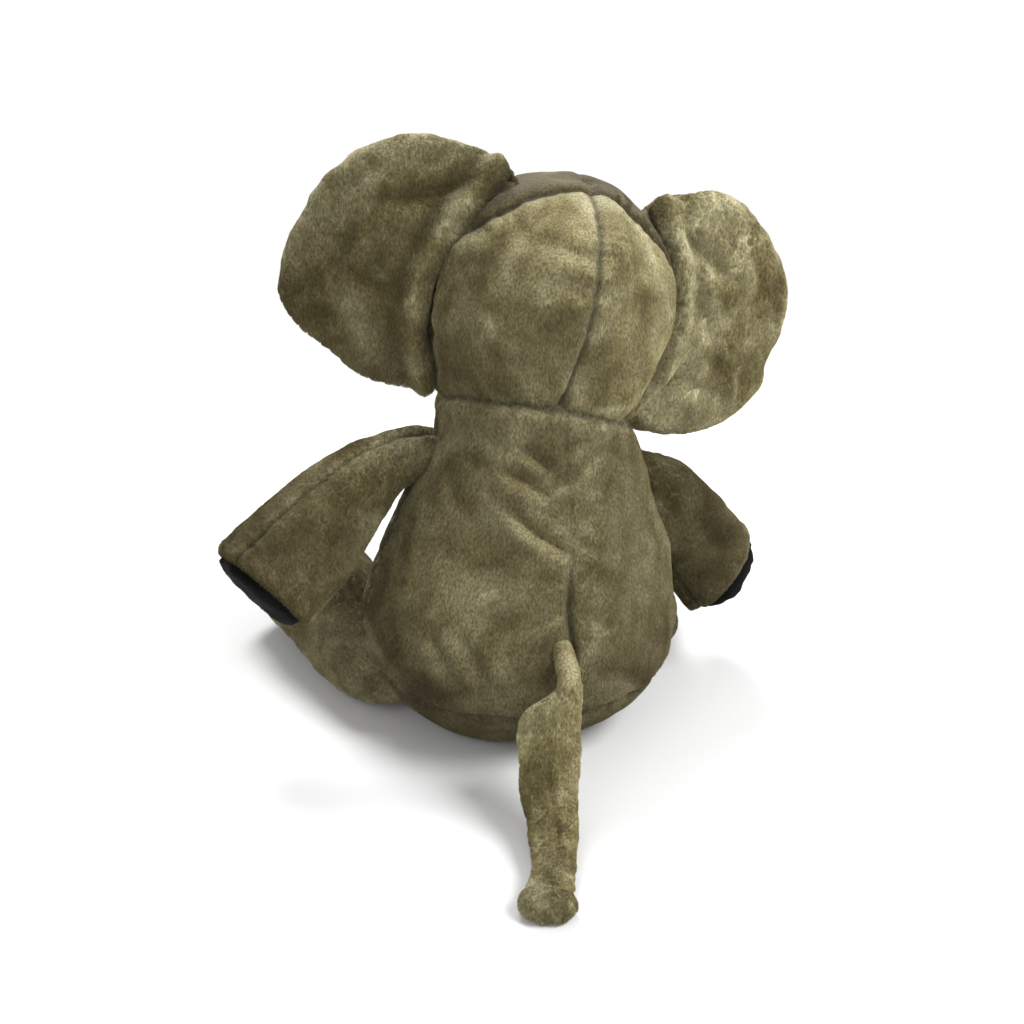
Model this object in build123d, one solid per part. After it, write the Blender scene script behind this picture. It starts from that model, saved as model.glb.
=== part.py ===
from build123d import *

"""Seated plush elephant, built from its cut and sewn pieces.

Frame: +Z up, the elephant faces -Y, its own left side is +X. The origin is the middle of the
flat patch of the seat that rests on a table. Millimetres.

Each stuffed form is a fabric cover of separate panels around its own filling. Limbs, ears, trunk
and tail are forms of their own, sewn on at one small place, which is where they hinge.
"""

import math
import os

# Fabric and clearances
CLOTH = 2.5  # plush cloth with its pile
SUEDE = 1.6  # short-pile cloth of the soles and the snout
FILL_GAP = 0.4  # between a cover and its filling
BODY_GAP = 0.6  # between two forms that are sewn to each other
HUGE = 400.0  # side of the blocks that cut forms apart

# Torso: a pear turned about an axis that leans a little to the elephant's right
WAIST_Z = 30.0  # height of the widest ring
WAIST_R = 60.0
SEAT_ARC_R = 32.0  # rounding from the seat up to the waist
CHEST_RISE = 76.0  # from the waist up to where the chest turns into the neck
CHEST_R = 41.5
NECK_RISE = 96.0  # from the waist up to where the neck is straight
COLLAR_RISE = 120.0  # from the waist up, before the neck seam cuts it
LEAN = 4.5  # degrees
SEAT_SEAM_Z = 24.0
SIDE_SEAM_Y = -8.0

# Neck seam: a plane that is low at the chest and on the elephant's right
NECK = Vector(-3.5, 0.0, 126.0)
NECK_UP = Vector(-0.27, -0.33, 0.90).normalized()
TORSO_FILL_DEPTH = 21.0  # below the neck seam
PLUG_R = 25.0
PLUG_DEPTH = (10.5, 19.0)  # the plug of filling inside the neck

# Pellet pouch in the seat, which keeps the toy sitting
POUCH_R = 36.0
POUCH_Z = (7.0, 27.0)
POUCH_CLOTH = 0.8
POUCH_ROUND = 8.0

# Hand stitches that close the centre-back seam
STITCHES = 8
STITCH_Z = (68.0, 3.5)  # lowest stitch and pitch
STITCH_R = 0.4
STITCH_LENGTH = 5.0

# Head: a ball that leans to the elephant's right
HEAD = Vector(-14.0, -7.5, 166.5)
HEAD_R = 48.0
HEAD_ROLL = 16.5  # degrees
CROWN_SEAM_Y = 4.0  # the seam over the crown from ear to ear, in the head's frame
HEAD_OPENING_R = 23.0

# Eyes: a dome on a shank that a washer locks behind the cloth
EYE_AZIMUTH, EYE_RISE = 33.0, 9.0  # degrees off the face's middle and above it
EYE_R, EYE_FLAT = 5.2, 1.2
SHANK_R, SHANK_LENGTH = 1.6, 12.0
WASHER_R, WASHER_T, WASHER_GAP = 6.0, 1.4, 0.25

# Ears: three layers of one dished plate
EAR_HINGE = Vector(HEAD_R + 1.6, 4.0, 1.0)  # in the head's frame, left ear
EAR_SWEEP = {"left": 30.0, "right": 16.0}  # degrees forward of straight out
EAR_FOLDS = (-26.0, -13.0, 0.0, 6.5, 13.0)  # turns about the hinge that the head leaves room for
EAR_DISH_R = 130.0
EAR_DISH_APEX = 28.0  # outward of the hinge
EAR_PLY, EAR_BATTING = 2.6, 2.4
EAR_LAYER_GAP = 0.3
EAR_HALF_DEPTH = 30.0
EAR_LIFT = 2.0  # clearance of the lower ear over the shoulder
EAR_OUTLINE = [
    (-14, 33), (2, 44), (25, 45), (46, 37), (58, 18), (60, -6), (55, -18),
    (53, -29), (37, -39), (15, -43), (-5, -39), (-12, -28), (-6, 0),
]

# Trunk: two tapered lengths, ball-jointed where the cloth folds
TRUNK_ROOT_R, TRUNK_ELBOW_R, TRUNK_TIP_R = 15.0, 12.2, 10.5
TRUNK_ROOT_DROP = 14.0  # below the head's middle
TRUNK_ELBOW = Vector(-7.0, -9.0, -35.0)  # from the root's centre, in the head's frame
TRUNK_TIP = Vector(-6.0, -22.0, -28.0)  # from the elbow's centre
TRUNK_RELIEF = 9.5  # how far short of the elbow's centre the upper length stops

# Limbs: (length to the sole, root radius, widest radius, where it gets widest, sole radius)
ARM = dict(length=80.0, root_r=7.0, wide_r=17.0, wide_at=34.0, end_r=20.5)
LEG = dict(length=66.0, root_r=13.0, wide_r=24.0, wide_at=30.0, end_r=27.0)
SOLE_BULGE = 4.5
END_ROUND = 5.0
LEFT_SHOULDER, LEFT_REACH = Vector(41.5, 0.0, 118.0), Vector(0.78, 0.0, -0.626)
RIGHT_SHOULDER, RIGHT_REACH = Vector(-60.0, 5.0, 98.0), Vector(-0.50, -0.216, -0.838)
HIP_X, HIP_Y, HIP_Z = 59.0, -43.5, 22.4
LEG_SPLAY = 20.5  # degrees outward
LEG_RISE = 5.4  # degrees, so that the underside lies on the table

# Tail: a narrow folded root, then a flat two-ply strap that droops to the table
TAIL_ROOT_R = 4.6
TAIL_ROOT = Vector(4.0, 63.8, 52.5)
TAIL_BEND = Vector(7.5, 72.5, 43.5)
TAIL_BALL_R = 5.0
TAIL_RELIEF = 3.6
TAIL_PLY, TAIL_CORE = 2.4, 2.2
# Stations along the strap: position of its middle and its width
TAIL_STATIONS = [
    ((10.0, 77.0, 36.5), 12.0),
    ((15.0, 85.0, 25.0), 25.0),
    ((23.5, 102.0, 10.0), 24.5),
    ((34.0, 128.0, 4.4), 22.0),
]
TAIL_END = (37.5, 136.0, 4.2)
TUFT_R, TUFT_LENGTH = 10.5, 9.0

PARTS = {}


def mirrored(v):
    """The same place on the elephant's other side."""
    return Vector(-v.X, v.Y, v.Z)


def block(low, high):
    """A box between two corners, for cutting."""
    size = [b - a for a, b in zip(low, high)]
    return Pos(*low) * Box(*size, align=(Align.MIN, Align.MIN, Align.MIN))


def half_space(where, outward):
    """A large block whose near face passes through a point and which lies on the outward side."""
    plane = Plane(origin=where, z_dir=outward)
    return plane * Box(HUGE, HUGE, HUGE, align=(Align.CENTER, Align.CENTER, Align.MIN))


def halves(shape, where, outward):
    """A shape cut in two by a plane: (the part on the outward side, the rest)."""
    side = half_space(where, outward)
    return shape & side, shape - side


def direction(azimuth, rise):
    """A unit vector, azimuth from -Y towards +X and rise above the horizon, in degrees."""
    a, e = math.radians(azimuth), math.radians(rise)
    return Vector(math.sin(a) * math.cos(e), -math.cos(a) * math.cos(e), math.sin(e))


def keep(name, *solids):
    """Stores a node's solids under its name."""
    PARTS[name] = [one for solid in solids for one in solid.solids()]


# --- Torso ---------------------------------------------------------------------------------


def pear(inset):
    """The torso's turned form, pulled in by inset, standing on no floor yet."""
    seat_x = WAIST_R - SEAT_ARC_R
    drop = WAIST_R - CHEST_R
    side_r = (drop**2 + CHEST_RISE**2) / (2 * drop)
    side_turn = math.degrees(math.asin(CHEST_RISE / side_r))
    across, up = math.cos(math.radians(side_turn)), math.sin(math.radians(side_turn))
    neck_rise = NECK_RISE - CHEST_RISE
    neck_r = neck_rise / up
    neck_x = CHEST_R + neck_r * across
    seat = CenterArc((seat_x, 0), SEAT_ARC_R - inset, -90, 90)
    side = CenterArc((WAIST_R - side_r, 0), side_r - inset, 0, side_turn)
    neck = CenterArc((neck_x, CHEST_RISE + neck_r * up), neck_r + inset, 180 + side_turn, -side_turn)
    bottom = Line((0, -SEAT_ARC_R + inset), seat @ 0)
    collar = Line(neck @ 1, ((neck @ 1).X, COLLAR_RISE))
    top = Line(collar @ 1, (0, COLLAR_RISE))
    axis = Line(top @ 1, bottom @ 0)
    outline = make_face(Curve() + [bottom, seat, side, neck, collar, top, axis])
    turned = revolve(Plane.XZ * outline, Axis.Z)
    return Pos(0, 0, WAIST_Z) * Rot(0, -LEAN, 0) * turned


def above(z):
    return block((-HUGE, -HUGE, z), (HUGE, HUGE, z + HUGE))


def past_neck(depth):
    """Everything beyond a plane parallel to the neck seam, depth below it."""
    return half_space(NECK - NECK_UP * depth, NECK_UP)


def torso():
    cloth = (pear(0) & above(0)) - (pear(CLOTH) & above(CLOTH)) - past_neck(0)
    upper, seat = halves(cloth, (0, 0, SEAT_SEAM_Z), (0, 0, 1))
    keep("seat_panel", seat)
    belly, back = halves(upper, (0, SIDE_SEAM_Y, 0), (0, -1, 0))
    keep("belly_panel", belly)
    leftward = Vector(1, 0, 0).rotate(Axis.Y, -LEAN)
    back_left, back_right = halves(back, (0, 0, WAIST_Z), leftward)
    keep("back_left_panel", back_left)
    keep("back_right_panel", back_right)

    pouch = turned_disc(POUCH_R, POUCH_Z, 0)
    pellets = turned_disc(POUCH_R, POUCH_Z, POUCH_CLOTH)
    keep("pellet_pouch", pouch - pellets)
    keep("pellet_fill", turned_disc(POUCH_R, POUCH_Z, POUCH_CLOTH + 0.1))
    stuffing = pear(CLOTH + FILL_GAP) & above(CLOTH + FILL_GAP)
    stuffing = stuffing - past_neck(TORSO_FILL_DEPTH) - turned_disc(POUCH_R, POUCH_Z, -FILL_GAP)
    keep("torso_filling", stuffing)
    plug = turned_disc(PLUG_R, PLUG_DEPTH, 0, rounding=3.5)
    keep("neck_filling", Plane(origin=NECK, z_dir=-NECK_UP) * plug)
    keep("closing_stitches", *closing_stitches())


def turned_disc(radius, z_range, inset, rounding=POUCH_ROUND):
    """A flat round-edged disc, pulled in all round by inset."""
    low, high = z_range[0] + inset, z_range[1] - inset
    disc = Cylinder(radius - inset, high - low)
    disc = fillet(disc.edges(), min(rounding - inset, (high - low) / 2 - 0.2))
    return Pos(0, 0, (low + high) / 2) * disc


def pear_radius(z):
    """The torso's outer radius at a height on its side arc."""
    drop = WAIST_R - CHEST_R
    side_r = (drop**2 + CHEST_RISE**2) / (2 * drop)
    return WAIST_R - side_r + math.sqrt(side_r**2 - (z - WAIST_Z) ** 2)


def closing_stitches():
    """Short bars of thread across the centre-back seam, half sunk in the cloth."""
    made = []
    for i in range(STITCHES):
        z = STITCH_Z[0] + i * STITCH_Z[1]
        x = -(z - WAIST_Z) * math.sin(math.radians(LEAN))
        bar = Cylinder(STITCH_R, STITCH_LENGTH, rotation=(0, 90, 0))
        made.append(Pos(x, pear_radius(z) - 0.2, z) * bar)
    return made


# --- Head ----------------------------------------------------------------------------------


def head_frame():
    """The head's own frame: origin at its middle, leaning over."""
    roll = math.radians(HEAD_ROLL)
    return Plane(
        origin=HEAD,
        x_dir=Vector(math.cos(roll), 0, math.sin(roll)),
        z_dir=Vector(-math.sin(roll), 0, math.cos(roll)),
    )


def eye(side):
    """(dome with shank, washer, the room both need) for one eye, in the head's frame."""
    out = direction(side * EYE_AZIMUTH, EYE_RISE)
    seat = Plane(origin=out * (HEAD_R + 0.1), z_dir=out)
    back = block((-HUGE, -HUGE, -HUGE), (HUGE, HUGE, 0))
    dome = seat * (Pos(0, 0, -EYE_FLAT) * Sphere(EYE_R) - back)
    downward = (Align.CENTER, Align.CENTER, Align.MAX)
    shank = seat * Cylinder(SHANK_R, SHANK_LENGTH, align=downward)
    washer_seat = Plane(origin=out * (HEAD_R - CLOTH - FILL_GAP - WASHER_R**2 / HEAD_R), z_dir=out)
    washer = washer_seat * Cylinder(WASHER_R, WASHER_T, align=downward)
    washer -= seat * Cylinder(SHANK_R + WASHER_GAP, SHANK_LENGTH + 1, align=downward)
    room = seat * Cylinder(SHANK_R + 0.3, SHANK_LENGTH + 0.5, align=downward)
    room += washer_seat * (Pos(0, 0, 1.5) * Cylinder(WASHER_R + 0.4, WASHER_T + 2.4, align=downward))
    return dome + shank, washer, room


def head():
    frame = head_frame()
    neck_hole = Plane(origin=HEAD - NECK_UP * HEAD_R, z_dir=NECK_UP) * Cylinder(HEAD_OPENING_R, HEAD_R)
    cover = frame * (Sphere(HEAD_R) - Sphere(HEAD_R - CLOTH)) - neck_hole
    stuffing = frame * Sphere(HEAD_R - CLOTH - FILL_GAP)
    shank_hole = SHANK_R + 0.3
    for side, name in ((1, "left"), (-1, "right")):
        button, washer, room = eye(side)
        keep(f"eye_{name}", frame * button)
        keep(f"eye_washer_{name}", frame * washer)
        stuffing = stuffing - frame * room
        out = direction(side * EYE_AZIMUTH, EYE_RISE)
        hole = Plane(origin=out * (HEAD_R - 6), z_dir=out) * Cylinder(shank_hole, 16)
        cover = cover - frame * hole
    keep("head_filling", stuffing)
    crown = HEAD + Vector(0, CROWN_SEAM_Y, 0)
    back, face = halves(cover, crown, (0, 1, 0))
    for part, name in ((back, "head_back"), (face, "face")):
        left, right = halves(part, HEAD, frame.x_dir)
        keep(f"{name}_left_panel", left)
        keep(f"{name}_right_panel", right)


# --- Ears ----------------------------------------------------------------------------------


def ear_layers(sweep):
    """An ear's (back ply, batting, front ply), as on the left side, in the head's frame."""
    sweep = math.radians(sweep)
    out = Vector(math.cos(sweep), -math.sin(sweep), 0)
    plane = Plane(origin=EAR_HINGE, x_dir=out, z_dir=out.cross(Vector(0, 0, 1)))
    outline = make_face(Spline(*EAR_OUTLINE, periodic=True))
    prism = plane * extrude(outline, amount=EAR_HALF_DEPTH, both=True)
    for turn in EAR_FOLDS:
        head_then = EAR_HINGE - EAR_HINGE.rotate(Axis.Z, -turn)
        prism = prism - Pos(*head_then) * Sphere(HEAD_R + 1.0)
    ahead = plane.z_dir if plane.z_dir.Y < 0 else -plane.z_dir
    dish_depth = math.sqrt(EAR_DISH_R**2 - EAR_DISH_APEX**2)
    centre = EAR_HINGE + out * EAR_DISH_APEX + ahead * dish_depth
    layers, radius = [], EAR_DISH_R + EAR_PLY + EAR_BATTING / 2
    for thickness in (EAR_PLY, EAR_BATTING, EAR_PLY):
        shell = Pos(*centre) * (Sphere(radius) - Sphere(radius - thickness))
        layers.append(prism & shell)
        radius -= thickness + EAR_LAYER_GAP
    return layers


def ears():
    frame = head_frame()
    shoulder = pear(-EAR_LIFT)
    left, right = ear_layers(EAR_SWEEP["left"]), ear_layers(EAR_SWEEP["right"])
    for i, name in enumerate(("back_ply", "batting", "front_ply")):
        keep(f"ear_left_{name}", frame * left[i])
        keep(f"ear_right_{name}", (frame * mirror(right[i], Plane.YZ)) - shoulder)


# --- Trunk ---------------------------------------------------------------------------------


def horn(start, end, start_r, end_r, inset=0.0):
    """A straight tapered form with ball ends, pulled in by inset."""
    axis = end - start
    length = axis.length
    slope = (start_r - end_r) / length
    lift = math.sqrt(1 - slope**2)
    r0, r1 = start_r - inset, end_r - inset
    low, high = (r0 * lift, r0 * slope), (r1 * lift, length + r1 * slope)
    first = ThreePointArc((0, -r0), (r0 * math.cos(math.pi / 4), -r0 * math.sin(math.pi / 4)), low)
    last_mid = (r1 * math.cos(math.pi / 4), length + r1 * math.sin(math.pi / 4))
    last = ThreePointArc(high, last_mid, (0, length + r1))
    edges = [first, Line(low, high), last, Line((0, length + r1), (0, -r0))]
    solid = revolve(Plane.XZ * make_face(Curve() + edges), Axis.Z)
    return Plane(origin=start, z_dir=axis) * solid


def trunk():
    frame = head_frame()
    drop = Vector(0, 0, -TRUNK_ROOT_DROP)
    reach = math.sqrt((HEAD_R + BODY_GAP + TRUNK_ROOT_R) ** 2 - TRUNK_ROOT_DROP**2)
    root = Vector(0, -reach, 0) + drop
    elbow = root + TRUNK_ELBOW
    tip = elbow + TRUNK_TIP
    down = (elbow - root).normalized()
    stop = half_space(elbow - down * TRUNK_RELIEF, down)
    upper = horn(root, elbow, TRUNK_ROOT_R, TRUNK_ELBOW_R) - stop
    socket = Pos(*elbow) * Sphere(TRUNK_ELBOW_R + BODY_GAP)
    core = horn(root, elbow, TRUNK_ROOT_R, TRUNK_ELBOW_R, CLOTH)
    keep("trunk_cover", frame * (upper - core - socket))
    fill = horn(root, elbow, TRUNK_ROOT_R, TRUNK_ELBOW_R, CLOTH + FILL_GAP)
    keep("trunk_filling", frame * (fill - stop - socket))

    ahead = (tip - elbow).normalized()
    end = half_space(tip, ahead)
    lower = horn(elbow, tip, TRUNK_ELBOW_R, TRUNK_TIP_R) - end
    keep("trunk_tip_cover", frame * (lower - horn(elbow, tip, TRUNK_ELBOW_R, TRUNK_TIP_R, CLOTH)))
    fill = horn(elbow, tip, TRUNK_ELBOW_R, TRUNK_TIP_R, CLOTH + FILL_GAP) - end
    keep("trunk_tip_filling", frame * fill)
    cap = horn(elbow, tip, TRUNK_ELBOW_R, TRUNK_TIP_R) & end
    keep("snout_patch", frame * (cap & half_space(tip + ahead * FILL_GAP, ahead)))
    return root, elbow


# --- Limbs ---------------------------------------------------------------------------------


def limb_profile(size, inset):
    """A limb's turned form about +Z, root ball at the origin, flat at the sole."""
    root_r, wide_r, end_r = (size[k] - inset for k in ("root_r", "wide_r", "end_r"))
    length, wide_at = size["length"], size["wide_at"]
    rise = (size["wide_r"] - size["root_r"]) / wide_at
    lean = math.atan(rise)
    off = (root_r * math.cos(lean), -root_r * math.sin(lean))
    ball = ThreePointArc((0, -root_r), (root_r * math.sin(0.6), -root_r * math.cos(0.6)), off)
    swell = Spline(off, (wide_r, wide_at), (end_r, length - 12), tangents=[(math.tan(lean), 1), (0, 1)])
    rounding = END_ROUND - inset / 2
    side = Line((end_r, length - 12), (end_r, length - rounding))
    edge = ThreePointArc(
        side @ 1,
        (end_r - rounding * 0.293, length - rounding * 0.293),
        (end_r - rounding, length),
    )
    top = Line(edge @ 1, (0, length))
    axis = Line((0, length), (0, -root_r))
    outline = make_face(Curve() + [ball, swell, side, edge, top, axis])
    return revolve(Plane.XZ * outline, Axis.Z)


def limb(name, size, root, reach, split_dir, panels):
    """One arm or leg: two cover panels, a filling and a sole."""
    place = Plane(origin=root, x_dir=split_dir, z_dir=reach)
    shell = limb_profile(size, 0) - limb_profile(size, CLOTH)
    mouth_r = size["end_r"] - END_ROUND
    mouth = Pos(0, 0, size["length"]) * Cylinder(mouth_r, 4 * CLOTH)
    shell = place * (shell - mouth)
    first, second = halves(shell, root, split_dir)
    keep(f"{name}_{panels[0]}_panel", first)
    keep(f"{name}_{panels[1]}_panel", second)
    shorter = {**size, "length": size["length"] - CLOTH - FILL_GAP}
    keep(f"{name}_filling", place * limb_profile(shorter, CLOTH + FILL_GAP))
    sole_r = mouth_r - 0.2
    dome_r = (sole_r**2 + SOLE_BULGE**2) / (2 * SOLE_BULGE)
    centre = Pos(0, 0, size["length"] - CLOTH + SUEDE + SOLE_BULGE - dome_r)
    slug = Pos(0, 0, size["length"]) * Cylinder(sole_r, 4 * SOLE_BULGE)
    patch = slug & (centre * (Sphere(dome_r) - Sphere(dome_r - SUEDE)))
    keep(f"{name}_sole", place * patch)


def arms_and_legs():
    up_back = Vector(0.25, 0.45, 0.85)
    for name, root, reach in (
        ("arm_left", LEFT_SHOULDER, LEFT_REACH),
        ("arm_right", RIGHT_SHOULDER, RIGHT_REACH),
    ):
        reach = reach.normalized()
        across = (up_back - reach * up_back.dot(reach)).normalized()
        limb(name, ARM, root, reach, across, ("upper", "under"))
    ahead = direction(LEG_SPLAY, LEG_RISE)
    hip = Vector(HIP_X, HIP_Y, HIP_Z)
    outward = Vector(1, 0, 0)
    outward = (outward - ahead * outward.dot(ahead)).normalized()
    limb("leg_left", LEG, hip, ahead, outward, ("outer", "inner"))
    limb("leg_right", LEG, mirrored(hip), mirrored(ahead), mirrored(outward), ("outer", "inner"))


# --- Tail ----------------------------------------------------------------------------------


def strap(widths_less, low, high):
    """A ruled strap through the tail's stations, between two heights off its middle surface."""
    stations = [(Vector(*p), w - widths_less) for p, w in TAIL_STATIONS]
    heading = Vector(*TAIL_END) - stations[0][0]
    across = heading.cross(Vector(0, 0, 1)).normalized()
    faces = []
    for i, (place, width) in enumerate(stations):
        before = stations[max(i - 1, 0)][0]
        after = stations[min(i + 1, len(stations) - 1)][0]
        plane = Plane(origin=place, x_dir=across, z_dir=after - before)
        up = 1 if plane.y_dir.Z > 0 else -1
        middle = (low + high) / 2 * up
        faces.append(plane * Pos(0, middle) * Rectangle(width, high - low))
    return loft(faces, ruled=True)


def tail():
    down = (TAIL_BEND - TAIL_ROOT).normalized()
    root = horn(TAIL_ROOT, TAIL_BEND, TAIL_ROOT_R, TAIL_BALL_R)
    root = root - half_space(TAIL_BEND - down * TAIL_RELIEF, down)
    keep("tail_root", root - Pos(*TAIL_BEND) * Sphere(TAIL_BALL_R + BODY_GAP))
    half = TAIL_CORE / 2
    keep("tail_upper_ply", strap(0, half + 0.1, half + TAIL_PLY))
    keep("tail_lower_ply", strap(0, -half - TAIL_PLY, -half - 0.1))
    neck = horn(TAIL_BEND, Vector(*TAIL_STATIONS[0][0]), TAIL_BALL_R, TAIL_CORE)
    cut = half_space(Vector(*TAIL_STATIONS[0][0]), Vector(*TAIL_STATIONS[0][0]) - TAIL_BEND)
    keep("tail_core", neck - cut, strap(4, -half, half))
    last, end = Vector(*TAIL_STATIONS[-1][0]), Vector(*TAIL_END)
    plane = Plane(origin=last, x_dir=(end - last).cross(Vector(0, 0, 1)), z_dir=end - last)
    tuft = plane * extrude(RectangleRounded(2 * TUFT_R, 7.6, 3.6), amount=TUFT_LENGTH)
    tuft = fillet(tuft.faces().sort_by(Axis(last, end - last))[-1].edges(), 2.5)
    before = Vector(*TAIL_STATIONS[-2][0])
    keep("tail_tuft", tuft & half_space(last + (end - last).normalized() * 1.2, last - before))


def main():
    torso()
    head()
    ears()
    root, elbow = trunk()
    arms_and_legs()
    tail()
    os.makedirs("parts", exist_ok=True)
    for name, solids in PARTS.items():
        export_step(Compound(children=solids) if len(solids) > 1 else solids[0], f"parts/{name}.step")
    place = head_frame()
    for label, point in (("trunk root", root), ("trunk elbow", elbow), ("ear hinge", EAR_HINGE)):
        print(label, place.from_local_coords(point))
    print(len(PARTS), "nodes")


main()
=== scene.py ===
"""Looks of the seated plush elephant. Shapes are worked out in millimetres and made in metres.

Frame: +Z up, the elephant faces -Y, its own left side is +X.
"""

import math

import bmesh
import bpy
import numpy as np
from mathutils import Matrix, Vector


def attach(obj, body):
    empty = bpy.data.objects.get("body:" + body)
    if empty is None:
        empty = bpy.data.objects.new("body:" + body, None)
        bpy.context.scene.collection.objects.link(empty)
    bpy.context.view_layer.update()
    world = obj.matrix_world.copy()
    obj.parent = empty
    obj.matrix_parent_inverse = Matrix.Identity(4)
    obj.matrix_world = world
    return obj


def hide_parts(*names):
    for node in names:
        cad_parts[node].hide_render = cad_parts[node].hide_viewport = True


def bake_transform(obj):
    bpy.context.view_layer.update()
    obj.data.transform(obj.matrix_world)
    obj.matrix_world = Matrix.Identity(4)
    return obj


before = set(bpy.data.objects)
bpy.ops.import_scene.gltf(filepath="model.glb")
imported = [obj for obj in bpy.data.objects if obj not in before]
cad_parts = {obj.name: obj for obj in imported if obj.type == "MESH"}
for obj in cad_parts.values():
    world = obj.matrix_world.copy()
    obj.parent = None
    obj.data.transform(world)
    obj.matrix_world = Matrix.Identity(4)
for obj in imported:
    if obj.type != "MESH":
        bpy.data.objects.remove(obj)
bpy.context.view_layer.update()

MM = 0.001


def unit(v):
    v = np.asarray(v, float)
    return v / np.linalg.norm(v)


# Torso, which leans to its right
LEAN = math.radians(4.5)
WAIST_Z = 30.0
SEAT_SEAM_Z = 27.5
SIDE_SEAM_Y = -8.0
BACK_SEAM_X = 1.0
NECK = np.array([-3.5, 0.0, 126.0])
NECK_UP = unit([-0.27, -0.33, 0.90])

# Head, in whose frame the ears and the trunk are laid out
HEAD = np.array([-14.0, -7.5, 166.5])
ROLL = math.radians(16.5)
HEAD_AXES = np.array(
    [[math.cos(ROLL), 0, math.sin(ROLL)], [0, 1, 0], [-math.sin(ROLL), 0, math.cos(ROLL)]]
)
CROWN_SEAM = 14.0  # how far behind the middle the seam over the crown runs

# Left leg
LEG_AHEAD = unit([0.3487, -0.9325, 0.0941])
HIP = np.array([59.0, -43.5, 22.4])


def from_head(p):
    """A place given in the head's frame."""
    return HEAD + np.asarray(p, float) @ HEAD_AXES


def in_head(points):
    """Places in the head's frame."""
    return (points - HEAD) @ HEAD_AXES.T


def distance(points, place):
    return np.linalg.norm(points - place, axis=1)


def bell(x, width):
    """1 in the middle, falling off smoothly over a width."""
    return np.exp(-((x / width) ** 2))


def soft_step(x, low, high):
    t = np.clip((x - low) / (high - low), 0, 1)
    return t * t * (3 - 2 * t)


# --- Meshes ----------------------------------------------------------------------------------


def mesh_object(name, points, faces):
    mesh = bpy.data.meshes.new(name)
    mesh.from_pydata([tuple(p) for p in np.asarray(points) * MM], [], faces)
    made = bpy.data.objects.new(name, mesh)
    bpy.context.scene.collection.objects.link(made)
    return made


def coords(made):
    """A mesh's points in millimetres."""
    flat = np.empty(len(made.data.vertices) * 3, np.float32)
    made.data.vertices.foreach_get("co", flat)
    return flat.reshape(-1, 3).astype(float) / MM


def set_coords(made, points):
    made.data.vertices.foreach_set("co", (np.asarray(points) * MM).astype(np.float32).ravel())
    made.data.update()


def normals(made):
    flat = np.empty(len(made.data.vertices) * 3, np.float32)
    made.data.vertex_normals.foreach_get("vector", flat)
    return flat.reshape(-1, 3).astype(float)


def bake(made):
    """Replaces an object's mesh by what its modifiers make of it."""
    graph = bpy.context.evaluated_depsgraph_get()
    done = bpy.data.meshes.new_from_object(made.evaluated_get(graph))
    made.modifiers.clear()
    made.data = done


def smooth_shaded(made):
    made.data.polygons.foreach_set("use_smooth", np.ones(len(made.data.polygons), bool))


def spline(stations, count):
    """Evenly spread rows along a smooth line through rows of numbers, places first."""
    rows = np.asarray(stations, float)
    steps = np.linalg.norm(np.diff(rows[:, :3], axis=0), axis=1)
    at = np.concatenate([[0], np.cumsum(np.maximum(steps, 1e-6))])
    slopes = np.gradient(rows, at, axis=0)
    wanted = np.linspace(0, at[-1], count)
    i = np.clip(np.searchsorted(at, wanted, side="right") - 1, 0, len(at) - 2)
    span = (at[i + 1] - at[i])[:, None]
    t = (wanted - at[i])[:, None] / span
    return (
        (2 * t**3 - 3 * t**2 + 1) * rows[i]
        + (t**3 - 2 * t**2 + t) * span * slopes[i]
        + (3 * t**2 - 2 * t**3) * rows[i + 1]
        + (t**3 - t**2) * span * slopes[i + 1]
    )


def skin(name, rings):
    """A closed form from rings of points, closed at both ends by a middle point."""
    rings = [np.asarray(r, float) for r in rings]
    m = len(rings[0])
    points = [rings[0].mean(axis=0)] + [p for r in rings for p in r] + [rings[-1].mean(axis=0)]
    faces = [(0, 1 + (j + 1) % m, 1 + j) for j in range(m)]
    for i in range(len(rings) - 1):
        a, b = 1 + i * m, 1 + (i + 1) * m
        faces += [(a + j, a + (j + 1) % m, b + (j + 1) % m, b + j) for j in range(m)]
    last, top = 1 + (len(rings) - 1) * m, len(points) - 1
    faces += [(top, last + j, last + (j + 1) % m) for j in range(m)]
    return mesh_object(name, points, faces)


def ring(centre, across, up, half_wide, half_high, power=2.0, count=48):
    """A rounded ring of points about a centre; power 2 is an ellipse, more is squarer."""
    t = np.linspace(0, 2 * math.pi, count, endpoint=False)
    c, s = np.cos(t), np.sin(t)
    x = np.sign(c) * np.abs(c) ** (2 / power) * half_wide
    y = np.sign(s) * np.abs(s) ** (2 / power) * half_high
    return centre + np.outer(x, across) + np.outer(y, up)


def swept(name, stations, reference, power=2.0, count=48, steps=60):
    """A form along a bent line; stations are (x, y, z, half width, half height)."""
    line = spline(stations, steps)
    rings = []
    for i, row in enumerate(line):
        ahead = unit(line[min(i + 1, steps - 1)][:3] - line[max(i - 1, 0)][:3])
        across = unit(np.cross(ahead, reference))
        up = np.cross(across, ahead)
        rings.append(ring(row[:3], across, up, max(row[3], 0.3), max(row[4], 0.3), power, count))
    return skin(name, rings)


# --- Stuffing and sewing ---------------------------------------------------------------------


def ripples(points, size, seed, count=28):
    """Smooth random waves of about a given size, between -1 and 1."""
    rng = np.random.default_rng(seed)
    heading = rng.normal(size=(count, 3))
    heading /= np.linalg.norm(heading, axis=1)[:, None]
    pace = 2 * math.pi / size * rng.uniform(0.6, 1.4, count)
    start = rng.uniform(0, 2 * math.pi, count)
    total = np.cos(points @ (heading * pace[:, None]).T + start).sum(axis=1)
    return np.clip(total / math.sqrt(count) / 1.3, -1, 1)


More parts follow.
